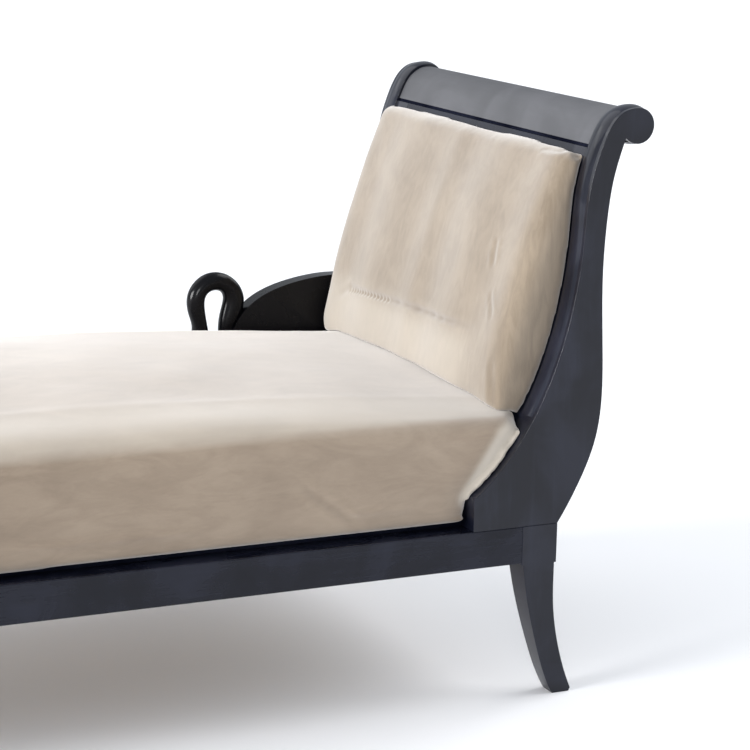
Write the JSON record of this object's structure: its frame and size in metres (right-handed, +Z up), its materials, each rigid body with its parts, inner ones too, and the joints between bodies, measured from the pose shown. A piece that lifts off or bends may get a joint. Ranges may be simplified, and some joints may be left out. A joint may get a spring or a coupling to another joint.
{
  "type": "recamier",
  "caption": "Day bed with one raised scrolled end, black lacquered frame on sabre legs, swan-neck arm at the rear and velvet seat and back cushions.",
  "frame": {"origin": "centre of the plan of the whole object, on the floor under its feet", "axes": "+X along the seat towards the raised head end, -Y towards the front (the side without the swan arm), +Z up"},
  "size_m": [1.85, 0.722, 0.857],
  "materials": {
    "black_lacquer": "gloss black lacquer over wood",
    "velvet": "short-pile beige velvet, brushed unevenly",
    "jute_webbing": "woven jute webbing",
    "plain_wood": "planed beech, unfinished"
  },
  "bodies": {
    "root": {"arm_dowels": "plain_wood", "back_pad": "velvet", "back_webbing": "jute_webbing", "corner_blocks": "plain_wood", "crest_dowels": "plain_wood", "crest_rail": "black_lacquer", "crest_strip": "black_lacquer", "foot_end_rail": "black_lacquer", "front_back_upright": "black_lacquer", "front_bead": "black_lacquer", "front_foot_leg": "black_lacquer", "front_head_leg": "black_lacquer", "front_ledger": "plain_wood", "front_rail": "black_lacquer", "front_stile": "black_lacquer", "head_end_rail": "black_lacquer", "lower_back_rail": "black_lacquer", "outer_back": "black_lacquer", "rear_back_upright": "black_lacquer", "rear_bead": "black_lacquer", "rear_foot_leg": "black_lacquer", "rear_head_leg": "black_lacquer", "rear_ledger": "plain_wood", "rear_rail": "black_lacquer", "rear_stile": "black_lacquer", "seat_bars": "plain_wood", "seat_cross_webbing": "jute_webbing", "seat_frame_foot": "plain_wood", "seat_frame_front": "plain_wood", "seat_frame_head": "plain_wood", "seat_frame_rear": "plain_wood", "seat_long_webbing": "jute_webbing", "seat_pad": "velvet", "stile_dowels": "plain_wood", "stretchers": "plain_wood", "swan_arm": "black_lacquer", "swan_neck": "black_lacquer", "upper_back_rail": "black_lacquer"}
  },
  "joints": []
}
